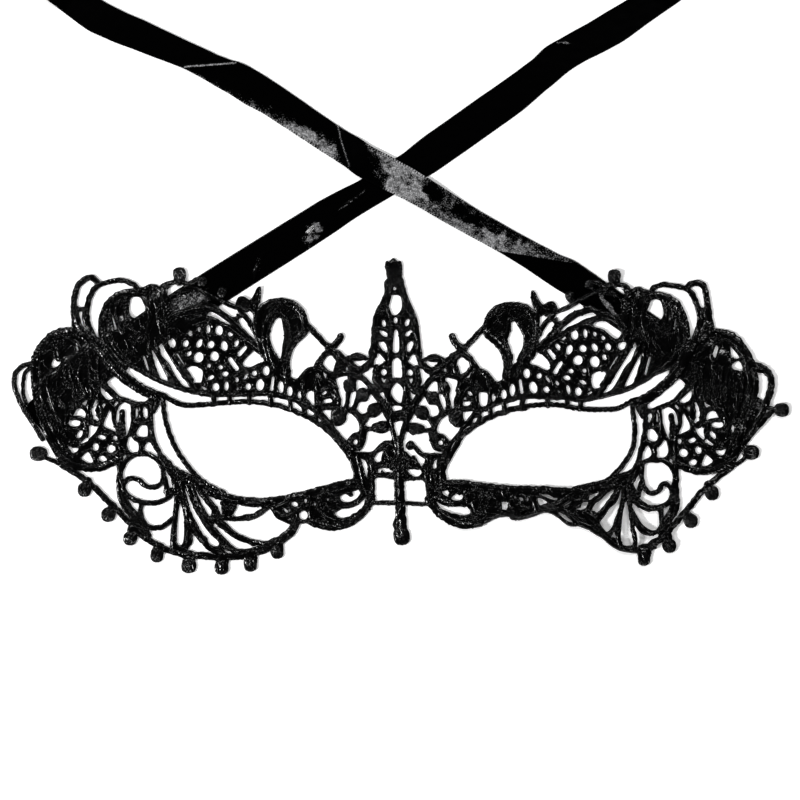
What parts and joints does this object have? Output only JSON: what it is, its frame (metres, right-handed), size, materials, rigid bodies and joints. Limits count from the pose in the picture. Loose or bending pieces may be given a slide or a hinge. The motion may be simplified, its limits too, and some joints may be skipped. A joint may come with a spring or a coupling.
{
  "type": "lace masquerade mask",
  "caption": "Openwork eye mask of corded black lace with narrow satin tie ribbons, lying face up, its lower edge folded under at one side.",
  "frame": {"origin": "under the middle of the lace's own box, on the plane it lies on", "axes": "+X to the picture's right, which is the wearer's left, +Y towards the brow, +Z out of the lace's face, up from the table. Right and left in every name are the picture's."},
  "size_m": [0.244, 0.2181, 0.0099],
  "materials": {
    "lace_thread": "matt black cotton-like thread with a faint sheen on the raised cords",
    "satin_ribbon": "black single-face satin ribbon, shining grey where it faces the light"
  },
  "bodies": {
    "root": {"lace": "lace_thread", "ribbon_right": "satin_ribbon", "ribbon_right_curl": "satin_ribbon", "ribbon_left": "satin_ribbon", "ribbon_left_curl": "satin_ribbon"}
  },
  "joints": []
}
